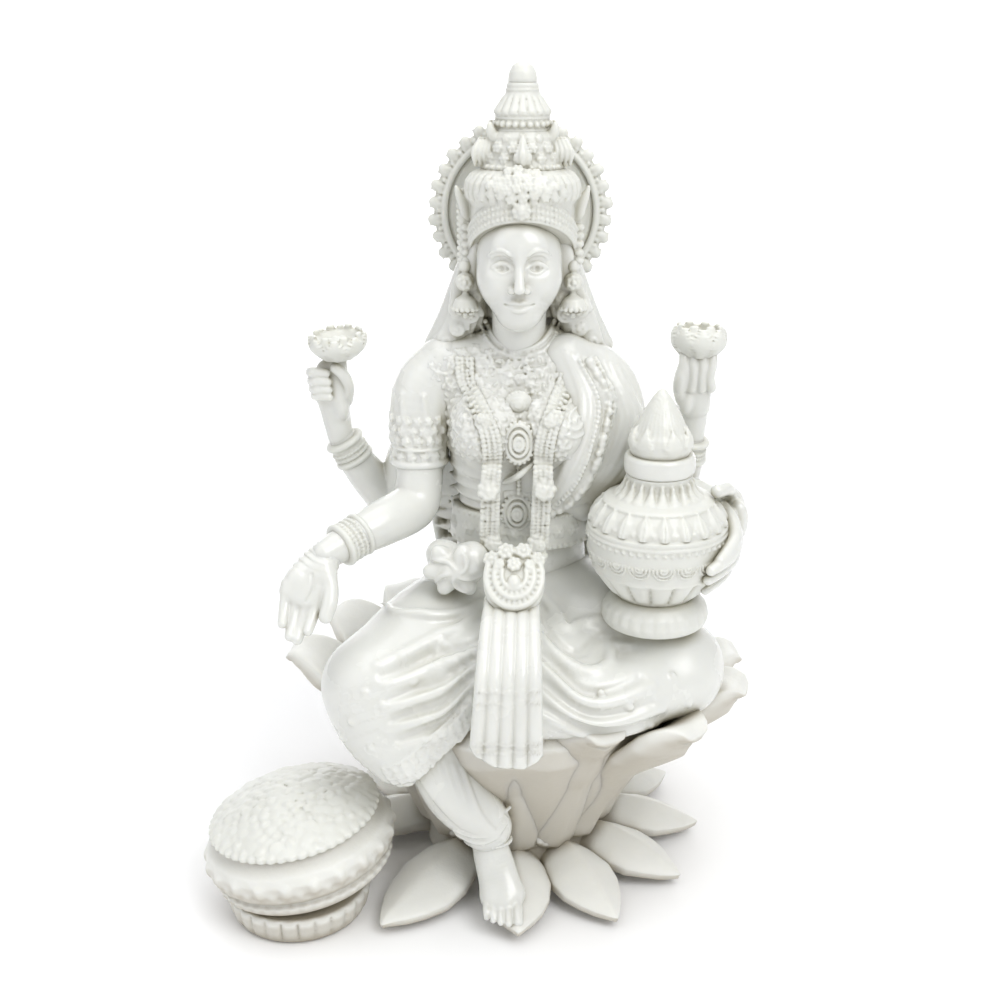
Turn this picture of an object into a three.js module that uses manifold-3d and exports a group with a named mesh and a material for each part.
// A seated four-armed goddess on a double lotus, with a treasure bowl at her right foot and a
// full vase held on her left thigh. Every piece is one closed solid in millimetres.
//
// Frame: +Z up, the figure faces -Y, so her right side is -X. The origin is the centre of the
// plinth's underside, on the surface that the statue stands on.
import * as THREE from "three";
import { mergeVertices } from "three/addons/utils/BufferGeometryUtils.js";
import Module from "manifold-3d";

const wasm = await Module();
wasm.setup();

// ---- Driving dimensions ----------------------------------------------------------------------
const HEIGHT = 305; // table to the tip of the crown
const GAP = 0.3; // clearance between pieces that rest against each other
const CUT = 0.35; // how far a piece is cut back from the piece that it fits round

const PLINTH_TOP = 18;
const SEAT_TOP = 84; // where the hips rest
const LIP_REACH = 89; // tips of the seat's petals, from the axis
const SEAT_PETALS = 14;
const LOWER_PETALS = 12;
const LOWER_REACH = 75; // tips of the lower petals, from the axis

const VASE = { x: 51, y: -32, base: 110.5 };
const BOWL = { x: -81.5, y: -50, lean: 8.6 };
const HEAD = { x: 1.5, y: -10, z: 238 };
const CROWN = { x: 2, y: -7 };
const HALO = { x: 2, y: 11.5, z: 252.5, plate: 27, rim: 33.8 };

const v = (x, y, z) => new THREE.Vector3(x, y, z);
const rad = THREE.MathUtils.degToRad;

// ---- Solids ----------------------------------------------------------------------------------
function solid(geometry) {
  const bare = geometry.clone();
  bare.deleteAttribute("normal");
  bare.deleteAttribute("uv");
  const merged = mergeVertices(bare, 1e-4);
  const mesh = new wasm.Mesh({
    numProp: 3,
    vertProperties: new Float32Array(merged.attributes.position.array),
    triVerts: new Uint32Array(merged.index.array),
  });
  const made = new wasm.Manifold(mesh);
  return made;
}

// Skins a row of rings, each the same number of points, and closes both ends with a fan.
function loft(rings) {
  const count = rings[0].length;
  const points = rings.flat();
  const index = [];
  const middle = (ring) => ring.reduce((sum, p) => sum.add(p), v(0, 0, 0)).divideScalar(count);
  for (let r = 0; r + 1 < rings.length; r++)
    for (let i = 0; i < count; i++) {
      const [a, b] = [r * count + i, r * count + ((i + 1) % count)];
      index.push(a, b, a + count, b, b + count, a + count);
    }
  const last = (rings.length - 1) * count;
  points.push(middle(rings[0]), middle(rings[rings.length - 1]));
  for (let i = 0; i < count; i++) {
    const next = (i + 1) % count;
    index.push(points.length - 2, next, i);
    index.push(points.length - 1, last + i, last + next);
  }
  const geometry = new THREE.BufferGeometry().setFromPoints(points);
  geometry.setIndex(index);
  return solid(geometry);
}

// A limb: ellipses along a smooth line, with rounded ends. radii holds [across, through] at each
// point; up sets which way "through" lies.
function limb(points, radii, grow = 0, { up = v(0, -1, 0), sides = 10, steps = 6 } = {}) {
  const line = new THREE.CatmullRomCurve3(points);
  const sizes = new THREE.CatmullRomCurve3(radii.map(([a, b], i) => v(a, b, i)));
  const rings = [];
  const ring = (t, scale, push) => {
    const tangent = line.getTangent(t);
    const side = v(0, 0, 0).crossVectors(up, tangent).normalize();
    const through = v(0, 0, 0).crossVectors(tangent, side);
    const size = sizes.getPoint(t);
    const reach = Math.min(size.x, size.y) + grow;
    const centre = line.getPoint(t).addScaledVector(tangent, push * reach);
    const made = [];
    for (let i = 0; i < sides; i++) {
      const turn = (2 * Math.PI * i) / sides;
      const at = centre.clone();
      at.addScaledVector(side, Math.cos(turn) * (size.x + grow) * scale);
      at.addScaledVector(through, Math.sin(turn) * (size.y + grow) * scale);
      made.push(at);
    }
    rings.push(made);
  };
  ring(0, 0.62, -0.7);
  for (let s = 0; s <= steps; s++) ring(s / steps, 1, 0);
  ring(1, 0.62, 0.7);
  return loft(rings);
}

function ellipsoid(centre, radii, grow = 0, around = 14) {
  const geometry = new THREE.SphereGeometry(1, around, Math.round(around * 0.6));
  geometry.scale(radii[0] + grow, radii[1] + grow, radii[2] + grow);
  geometry.rotateX(Math.PI / 2);
  geometry.scale(1, (radii[1] + grow) / (radii[2] + grow), (radii[2] + grow) / (radii[1] + grow));
  geometry.translate(...centre);
  return solid(geometry);
}

// Turns a profile of [radius, height] pairs about a vertical axis. It starts and ends on the axis.
function turned(profile, { x = 0, y = 0, z = 0, lean = 0, grow = 0, around = 24 } = {}) {
  const low = profile[0][1];
  const high = profile[profile.length - 1][1];
  const points = profile.map(([r, h]) => {
    const up = h === low ? -grow : h === high ? grow : 0;
    return new THREE.Vector2(r === 0 ? 0 : r + grow, h + up);
  });
  const geometry = new THREE.LatheGeometry(points, around);
  geometry.rotateX(Math.PI / 2);
  geometry.rotateY(rad(-lean));
  geometry.translate(x, y, z);
  return solid(geometry);
}

const join = (...solids) => solids.reduce((all, one) => all.add(one));

// A flat body of revolution about Y, such as the halo's plate, from y to y + thick.
function disc(radius, y, thick, { x, z, grow = 0, around = 30, scallop = 0 }) {
  const outline = new THREE.Shape();
  const count = scallop ? around * 2 : around;
  for (let i = 0; i <= count; i++) {
    const turn = (2 * Math.PI * i) / count;
    const reach = radius + grow - (scallop && i % 2 ? scallop : 0);
    const [px, pz] = [reach * Math.cos(turn), reach * Math.sin(turn)];
    if (i === 0) outline.moveTo(px, pz);
    else if (i < count) outline.lineTo(px, pz);
  }
  const geometry = new THREE.ExtrudeGeometry(outline, {
    depth: thick + 2 * grow,
    bevelEnabled: false,
  });
  geometry.rotateX(Math.PI / 2);
  geometry.translate(x, y + thick + grow, z);
  return solid(geometry);
}

// ---- The lotus -------------------------------------------------------------------------------
// One lower petal: a thick leaf that slopes down from the plinth to its tip. Angle 0 is the front.
function lowerPetal(angle, reach, wide, grow) {
  const stations = [
    // share of the reach, half width, underside, top
    [0.49, 0.55, 0, 16.5],
    [0.6, 0.86, 0, 15.5],
    [0.72, 1, 0.6, 13],
    [0.84, 0.76, 1.6, 9.5],
    [0.95, 0.34, 2.6, 6.5],
    [1, 0.06, 3.2, 4.6],
  ];
  const turn = rad(angle);
  const rings = stations.map(([share, width, low, high], n) => {
    const r = reach * share + (n === 0 ? -grow : n === stations.length - 1 ? grow : 0);
    const half = width * wide + grow;
    const rise = high - low;
    const section = [
      [-0.8, low - grow],
      [0.8, low - grow],
      [1, low + 0.4 * rise],
      [0.6, low + 0.85 * rise + grow],
      [0, high + grow],
      [-0.6, low + 0.85 * rise + grow],
      [-1, low + 0.4 * rise],
    ];
    return section.map(([across, z]) =>
      v(
        r * Math.sin(turn) + across * half * Math.cos(turn),
        -r * Math.cos(turn) + across * half * Math.sin(turn),
        Math.max(z, 0),
      ),
    );
  });
  return loft(rings);
}

// The seat: a flared cup whose wall is petals side by side, their lips curling out into tips.
function lotusCup(grow) {
  const columns = SEAT_PETALS * 4;
  const floor = PLINTH_TOP + GAP;
  // Each row: height, radius between two petals, radius at a petal's middle, height at the middle.
  const rows = [
    [floor - grow, 30, 30, floor - grow],
    [floor - grow, 36, 38, floor - grow],
    [34, 43, 46, 34],
    [52, 54, 59, 53],
    [66, 63, 71, 69],
    [74, 68, 82, 76],
    [77, 68, LIP_REACH, 77.5],
    [79, 66, 82, 82.5],
    [80, 60, 66, SEAT_TOP - 1],
    [SEAT_TOP + grow, 48, 48, SEAT_TOP + grow],
  ];
  const rings = rows.map(([z, dip, crest, crestZ]) => {
    const ring = [];
    for (let c = 0; c < columns; c++) {
      const turn = (2 * Math.PI * c) / columns;
      const lift = Math.abs(Math.cos((SEAT_PETALS / 2) * turn)) ** 1.4;
      const r = dip + (crest - dip) * lift + grow;
      ring.push(v(r * Math.sin(turn), -r * Math.cos(turn), z + (crestZ - z) * lift));
    }
    return ring;
  });
  return loft(rings);
}

const BOWL_PETAL = -60; // the treasure bowl stands where this lower petal would be
const petals = [];
for (let i = 0; i < LOWER_PETALS; i++) {
  const angle = i <= LOWER_PETALS / 2 ? i * 30 : (i - LOWER_PETALS) * 30;
  if (angle === BOWL_PETAL) continue;
  const beside = angle === -30; // the petal beside the bowl is the largest
  const reach = beside ? 86 : angle === 0 ? LOWER_REACH + 1 : LOWER_REACH;
  petals.push([
    `lower_petal_${String(petals.length + 1).padStart(2, "0")}`,
    "lotus",
    (g) => lowerPetal(beside ? -35 : angle, reach, beside ? 15 : 12.6, g),
  ]);
}

// ---- Vase, bowl, crown and halo --------------------------------------------------------------
const vaseAt = (grow, more = {}) => ({ x: VASE.x, y: VASE.y, z: VASE.base, grow, ...more });
const vaseFoot = (g) =>
  turned([[0, 0], [15, 0], [18.5, 2], [18.9, 4.5], [16.5, 9], [14.5, 11], [0, 11]], vaseAt(g));
const vaseBody = (g) =>
  turned(
    [[0, 11.3], [14, 11.3], [18.4, 16.4], [22.3, 21.5], [24.2, 28], [24.7, 34], [24, 39], [22, 44],
      [18.4, 49], [14.4, 54], [12.4, 57], [0, 57]],
    vaseAt(g),
  );
const vaseCollar = (g) =>
  turned([[0, 57.3], [12.3, 57.3], [13, 58.8], [13, 62.6], [12.3, 64], [0, 64]], vaseAt(g));
const coconut = (g) =>
  turned(
    [[0, 64.3], [9.8, 64.3], [11.2, 67], [11.2, 70.5], [8.9, 76], [6, 80.6], [3, 84.6], [0, 87.3]],
    vaseAt(g, { around: 18 }),
  );

const bowlAt = (z, grow, more = {}) => ({ x: BOWL.x, y: BOWL.y, z, grow, ...more });
// The pot has settled a little inwards and askew on its foot.
const askew = { x: BOWL.x + 2.1, y: BOWL.y + 5.4, lean: BOWL.lean, around: 28 };
const bowlFoot = (g) =>
  turned([[0, 0], [23, 0], [25, 3], [25.8, 8], [25, 11], [0, 11]], bowlAt(0, g));
const bowlBelly = (g) =>
  turned(
    [[0, 0], [26, 0], [31.5, 2.5], [34.6, 8], [35, 13], [33, 18.5], [30.2, 21.5], [0, 21.5]],
    bowlAt(15.5, g, askew),
  );
const coinHeap = (g) =>
  turned(
    [[0, 22], [30.5, 22], [31.8, 23.5], [29, 26], [22, 30], [12, 33], [0, 34]],
    bowlAt(15.5, g, askew),
  );

const crownAt = (grow, more = {}) => ({ x: CROWN.x, y: CROWN.y, z: 0, grow, ...more });
const crownBase = (g) =>
  turned(
    [[0, 249], [17.6, 249], [18.4, 254], [19.2, 259], [18.6, 264], [15.5, 268.5], [0, 268.5]],
    crownAt(g),
  );
const crownMiddle = (g) =>
  turned([[0, 268.8], [13.6, 268.8], [14.4, 273], [13.4, 278], [10, 281.5], [0, 281.5]], crownAt(g));
const crownTop = (g) =>
  turned([[0, 281.8], [9.2, 281.8], [9.2, 286.5], [10.4, 288], [6.8, 292], [5.6, 296.5], [0, 296.5]],
    crownAt(g, { around: 20 }));
const crownFinial = (g) =>
  turned([[0, 296.8], [4.3, 296.8], [4.6, 299.5], [3.6, 302.6], [1.8, 304.4], [0, HEIGHT]],
    crownAt(g, { around: 16 }));

const haloPlate = (g) =>
  disc(HALO.plate, HALO.y + 0.8, 2.4, { x: HALO.x, z: HALO.z, grow: g });
function haloRim(g) {
  const outer = disc(HALO.rim, HALO.y, 4.5, { x: HALO.x, z: HALO.z, grow: g, scallop: 1.3 });
  const hole = disc(HALO.plate + GAP - g, HALO.y - 5, 15, { x: HALO.x, z: HALO.z });
  return outer.subtract(hole);
}

// ---- The figure ------------------------------------------------------------------------------
const level = { up: v(1, 0, 0), sides: 14 };

const torso = (g) =>
  join(
    limb(
      [v(2, 0, 122), v(2.5, -1, 136), v(3, -4, 150), v(3, -6, 166), v(3, -6, 178), v(3, -3, 191),
        v(2, -1, 201), v(1.5, -2, 206)],
      [[17, 24], [16, 23.5], [16, 23.5], [18, 27], [19, 29], [17, 30], [13, 27], [9, 15]],
      g,
      { ...level, steps: 9 },
    ),
    ellipsoid([-9.5, -20, 178], [12.5, 12, 12], g, 12),
    ellipsoid([14, -20, 178], [12.5, 12, 12], g, 12),
  );
// The face is plain: brow, nose, lips and chin stand out of an egg shape.
const head = (g) =>
  join(
    ellipsoid([HEAD.x, HEAD.y, HEAD.z], [15.4, 18.5, 22], g),
    limb([v(HEAD.x, -3, 204), v(HEAD.x, -5, 226)], [[10, 10.5], [9.6, 10]], g, {
      ...level,
      steps: 2,
    }),
    limb(
      [v(HEAD.x, -27.2, 246), v(HEAD.x, -29.4, 240), v(HEAD.x, -30.6, 235)],
      [[1.4, 1.6], [1.6, 1.8], [2.6, 2]],
      g,
      { sides: 8, steps: 2 },
    ),
    ellipsoid([HEAD.x - 6.2, -24.6, 241.5], [4, 2.4, 2], g, 8),
    ellipsoid([HEAD.x + 6.2, -24.6, 241.5], [4, 2.4, 2], g, 8),
    ellipsoid([HEAD.x, -27.2, 229.4], [4.6, 2.2, 1.9], g, 8),
    ellipsoid([HEAD.x, -23.4, 221.5], [5.4, 5, 4.6], g, 8),
  );
const backHair = (g) =>
  join(
    limb(
      [v(1.5, 8, 236), v(1, 13, 206), v(0, 20, 172), v(0, 22, 140), v(0, 22, 104)],
      [[6, 15], [8, 27], [7, 33], [6, 34], [5.5, 27]],
      g,
      { ...level, steps: 5, sides: 10 },
    ),
    limb([v(-13, 3, 238), v(-20, 4, 219), v(-22, 6, 207)], [[6, 5], [7, 6], [7, 7]], g, {
      ...level,
      sides: 6,
      steps: 2,
    }),
    limb([v(16, 3, 238), v(23, 4, 219), v(25, 6, 207)], [[6, 5], [7, 6], [7, 7]], g, {
      ...level,
      sides: 6,
      steps: 2,
    }),
  );
const hips = (g) =>
  join(
    ellipsoid([0, 4, 106], [34, 23, 20], g, 16),
    ellipsoid([0, -26, 98], [27, 34, 14], g, 16),
  );
const rightThigh = (g) =>
  limb(
    [v(-16, -4, 106), v(-32, -24, 100), v(-50, -46, 90)],
    [[20, 18], [20, 19], [17.5, 17.5]],
    g,
    { up: v(0, 0, 1), sides: 14, steps: 5 },
  );
const rightShin = (g) =>
  limb([v(-50, -50, 88), v(-43, -58, 76), v(-33, -63, 68)], [[17, 17], [17, 14], [14, 8]], g, {
    steps: 4,
  });
const rightCalf = (g) =>
  limb([v(-34, -56, 70), v(-22, -57, 51), v(-11, -55, 35)], [[12, 10], [10.5, 10], [8.6, 8.6]], g, {
    steps: 4,
  });
const rightFoot = (g) =>
  limb(
    [v(-9, -51, 29), v(-5, -59, 20), v(-1, -67, 12)],
    [[7.4, 7.4], [8, 6], [8.4, 3.6]],
    g,
    { up: v(0, -0.5, 1), steps: 5 },
  );
const leftThigh = (g) =>
  limb(
    [v(16, -4, 106), v(38, -18, 100), v(60, -32, 92)],
    [[20, 18], [20, 18], [17, 17]],
    g,
    { up: v(0, 0, 1), sides: 14, steps: 5 },
  );
const leftShin = (g) =>
  limb([v(60, -36, 88), v(34, -55, 86), v(6, -62, 84)], [[14, 13], [13, 12], [10, 9]], g, {
    up: v(0, 0, 1),
    steps: 5,
  });
const frontSash = (g) =>
  limb(
    [v(1, -46, 122), v(0.5, -61, 113), v(0, -73, 99), v(-0.5, -77, 84), v(-1, -79, 74)],
    [[11, 2.6], [12, 2.6], [13, 2.6], [14, 2.6], [15, 2.4]],
    g,
    { steps: 7 },
  );
const hipKnot = (g) => ellipsoid([-22, -30, 128], [11, 9, 9], g);
const medallion = (g) => ellipsoid([1, -42, 130.5], [11.6, 6, 13], g);
const waistBelt = (g) =>
  limb([v(2.4, -1.5, 137), v(2.6, -2.5, 145)], [[19, 26.4], [19, 26]], g, { ...level, steps: 2 });
const pendant = (g) => ellipsoid([1, -30, 176], [6, 4, 8], g, 12);
const garland = (side) => (g) =>
  limb(
    [v(1.5 + side * 14, -12, 203), v(1.5 + side * 12.5, -27, 189), v(1.5 + side * 11, -31, 175),
      v(1.5 + side * 9.5, -25, 156), v(1.5 + side * 8.5, -24, 143)],
    [[3.4, 3], [3.4, 3.2], [3.4, 3.4], [3.4, 3.4], [3.4, 3.2]],
    g,
    { sides: 8, steps: 8 },
  );
const earring = (side) => (g) =>
  join(
    ellipsoid([HEAD.x + side * 17.2, -8, 224], [3.4, 4, 4], g, 10),
    ellipsoid([HEAD.x + side * 17.6, -8, 218], [4.6, 4.6, 4.4], g, 10),
  );
const shawl = (g) =>
  limb(
    [v(22, 0, 199), v(33, -3, 187), v(36.5, -5, 170), v(33, -7, 154)],
    [[11, 11], [12.5, 12], [13, 13], [9, 9]],
    g,
    { ...level, steps: 6 },
  );

// ---- Arms ------------------------------------------------------------------------------------
const rightSleeve = (g) =>
  limb([v(-24, 0, 196), v(-32, -2, 184), v(-35, -6, 165)], [[11, 11], [11, 11], [9.6, 9.4]], g, {
    ...level,
    sides: 12,
    steps: 5,
  });
const rightForearm = (g) =>
  limb(
    [v(-35, -7, 163), v(-36.5, -12, 150), v(-48, -26, 146), v(-64, -40, 142)],
    [[8.4, 8.4], [8.8, 8.8], [8.2, 8.2], [6.2, 6]],
    g,
    { up: v(0.3, 0.9, 0.4), steps: 8 },
  );
// A hand: a palm from the wrist to the knuckles, four fingers side by side, and a thumb. The
// fingers bend once, at their middle joints.
function hand({ wrist, knuckles, joints, tips, across, spread = 3.5, thick = 2, thumb }, grow) {
  const side = across.clone().normalize();
  const along = v(0, 0, 0).subVectors(knuckles, wrist);
  const out = v(0, 0, 0).crossVectors(along, side).normalize();
  const finger = (points) =>
    limb(points, [[thick, thick], [thick, thick], [thick * 0.8, thick * 0.8]], grow, {
      up: out,
      sides: 6,
      steps: 2,
    });
  const parts = [
    limb([wrist, knuckles], [[4.8, 4.6], [spread * 2, 3.4]], grow, { up: out, sides: 8, steps: 1 }),
    finger(thumb),
  ];
  [0.86, 1, 0.97, 0.8].forEach((reach, n) => {
    const shift = side.clone().multiplyScalar((n - 1.5) * spread);
    const end = tips.clone().sub(joints).multiplyScalar(reach).add(joints);
    parts.push(finger([knuckles, joints, end].map((p) => p.clone().add(shift))));
  });
  return join(...parts);
}
// Palm to the front and fingers down, giving.
const rightHand = (g) =>
  hand(
    {
      wrist: v(-68, -43.5, 139),
      knuckles: v(-74.6, -51.5, 128),
      joints: v(-77.5, -56.5, 119),
      tips: v(-78.6, -60, 110),
      across: v(-0.98, 0.06, 0.14),
      thumb: [v(-67, -47, 135), v(-65, -53, 129), v(-66.5, -57, 122.5)],
    },
    g,
  );
const cuff = (from, to, radius) => (g) =>
  limb([from, to], [[radius, radius], [radius, radius]], g, { up: v(0.3, 0.9, 0.4), steps: 1 });
const rearArm = (side) => (g) =>
  limb(
    side < 0
      ? [v(-24, 12, 190), v(-39, 16, 162), v(-47, 17, 146), v(-57, 15, 152), v(-66, 12, 167)]
      : [v(27, 12, 190), v(44, 16, 162), v(57, 17, 147), v(65, 15, 153), v(67.5, 12, 168)],
    [[9, 9], [8.8, 8.8], [8.6, 8.6], [7.8, 7.8], [5.8, 5.8]],
    g,
    { up: v(0, 1, 0), steps: 9 },
  );
// Fingers closed round the foot of a lotus.
const rearHand = (side) => (g) =>
  hand(
    {
      wrist: v(side * 67.5, 11.5, 170),
      knuckles: v(side * 71, 8, 184),
      joints: v(side * 70, 0, 191),
      tips: v(side * 61, -1, 190),
      across: v(0, 0.25, 1),
      spread: 3.1,
      thick: 1.9,
      thumb: [v(side * 66, 8, 180), v(side * 60, 5, 188), v(side * 62.5, 2.5, 196)],
    },
    g,
  );
const handLotus = (side) => (g) =>
  turned([[0, -7], [2.2, -7], [2.6, -1.5], [4.6, 0], [8.6, 2.6], [10.4, 6], [10, 9.6], [0, 9.6]], {
    x: side < 0 ? -64.5 : 65.5,
    y: 5,
    z: 199,
    grow: g,
    around: 16,
  });
const leftForearm = (g) =>
  limb(
    [v(37, -2, 150), v(50, 5, 147), v(66, 3, 147), v(76, -6, 148)],
    [[8.4, 8.4], [7.8, 7.8], [6.8, 6.8], [5.8, 5.8]],
    g,
    { up: v(0, 0, 1), steps: 6 },
  );
// Spread over the outer side of the vase.
const leftHand = (g) =>
  hand(
    {
      wrist: v(78.5, -10, 147.5),
      knuckles: v(80.6, -23, 143),
      joints: v(80.5, -34, 139),
      tips: v(74.5, -45, 134),
      across: v(-0.1, -0.45, 1),
      spread: 3.8,
      thumb: [v(77, -16, 151), v(76.2, -25, 156), v(73.5, -32.5, 159)],
    },
    g,
  );

// ---- The assembly ----------------------------------------------------------------------------
// A piece is cut back from every piece listed before it, so the order is the order of fitting.
const pieces = [
  ["plinth", "lotus", (g) => turned([[0, 0], [35, 0], [35, PLINTH_TOP], [0, PLINTH_TOP]], { grow: g })],
  ["lotus_cup", "lotus", lotusCup],
  ["vase_foot", "ornament", vaseFoot],
  ["vase_body", "ornament", vaseBody],
  ["vase_collar", "skin", vaseCollar],
  ["vase_coconut", "ornament", coconut],
  ["bowl_foot", "lotus", bowlFoot],
  ["bowl_belly", "lotus", bowlBelly],
  ["coin_heap", "ornament", coinHeap],
  ["halo_plate", "ornament", haloPlate],
  ["halo_rim", "ornament", haloRim],
  ["crown_finial", "ornament", crownFinial],
  ["crown_top", "ornament", crownTop],
  ["crown_middle", "ornament", crownMiddle],
  ["crown_base", "ornament", crownBase],
  ["head", "skin", head],
  ["torso", "cloth", torso],
  ["waist_belt", "ornament", waistBelt],
  ["right_garland", "ornament", garland(-1)],
  ["left_garland", "ornament", garland(1)],
  ["chest_pendant", "ornament", pendant],
  ["right_earring", "ornament", earring(-1)],
  ["left_earring", "ornament", earring(1)],
  ["right_foot", "skin", rightFoot],
  ["front_sash", "cloth", frontSash],
  ["belt_medallion", "ornament", medallion],
  ["hip_knot", "cloth", hipKnot],
  ["hips_drape", "cloth", hips],
  ["right_shin_drape", "cloth", rightShin],
  ["right_thigh_drape", "cloth", rightThigh],
  ["right_calf", "cloth", rightCalf],
  ["left_shin_drape", "cloth", leftShin],
  ["left_thigh_drape", "cloth", leftThigh],
  ...petals,
  ["right_forearm", "skin", rightForearm],
  ["right_sleeve", "cloth", rightSleeve],
  ["right_bangle", "ornament", cuff(v(-53, -30, 144.6), v(-60, -36.5, 142.8), 8.6)],
  ["right_hand", "skin", rightHand],
  ["shawl", "cloth", shawl],
  ["left_forearm", "skin", leftForearm],
  ["left_hand", "skin", leftHand],
  ["right_rear_arm", "skin", rearArm(-1)],
  ["left_rear_arm", "skin", rearArm(1)],
  ["right_rear_bangle", "ornament", cuff(v(-61, 13.4, 157.6), v(-64.6, 12.6, 164), 7.8)],
  ["left_rear_bangle", "ornament", cuff(v(66.6, 13.6, 158.4), v(67.6, 12.6, 165), 7.8)],
  ["right_rear_hand", "skin", rearHand(-1)],
  ["left_rear_hand", "skin", rearHand(1)],
  ["right_lotus", "ornament", handLotus(-1)],
  ["left_lotus", "ornament", handLotus(1)],
  ["back_hair", "cloth", backHair],
];

// Finishes of the same white cast stone.
const finishes = {
  skin: new THREE.MeshStandardMaterial({ color: 0xebebe4, roughness: 0.26, metalness: 0 }),
  cloth: new THREE.MeshStandardMaterial({ color: 0xe9e9e2, roughness: 0.32, metalness: 0 }),
  ornament: new THREE.MeshStandardMaterial({ color: 0xe6e5dd, roughness: 0.42, metalness: 0 }),
  lotus: new THREE.MeshStandardMaterial({ color: 0xdedcd4, roughness: 0.5, metalness: 0 }),
};

function apart(a, b) {
  const [p, q] = [a.boundingBox(), b.boundingBox()];
  return [0, 1, 2].some((k) => p.min[k] > q.max[k] || q.min[k] > p.max[k]);
}

const largest = (made) =>
  made.decompose().reduce((best, one) => (one.volume() > best.volume() ? one : best));
// Merges slivers along the cuts; far smaller than the clearance between pieces.
const TIDY = 0.04;

function meshOf(name, made, material) {
  const { vertProperties, triVerts, numProp, numVert } = made.getMesh();
  const positions = new Float32Array(numVert * 3);
  for (let i = 0; i < numVert; i++)
    positions.set(vertProperties.subarray(i * numProp, i * numProp + 3), i * 3);
  const geometry = new THREE.BufferGeometry();
  geometry.setAttribute("position", new THREE.BufferAttribute(positions, 3));
  geometry.setIndex(new THREE.BufferAttribute(new Uint32Array(triVerts), 1));
  geometry.computeVertexNormals();
  const mesh = new THREE.Mesh(geometry, material);
  mesh.name = name;
  return mesh;
}

const statue = new THREE.Group();
const cutters = [];
for (const [name, finish, make] of pieces) {
  let made = make(0);
  for (const cutter of cutters) {
    if (apart(made, cutter)) continue;
    if (made.intersect(cutter).volume() > 0) made = largest(made.subtract(cutter));
  }
  made = largest(made.setTolerance(TIDY));
  cutters.push(make(CUT));
  statue.add(meshOf(name, made, finishes[finish]));
}

export default statue;
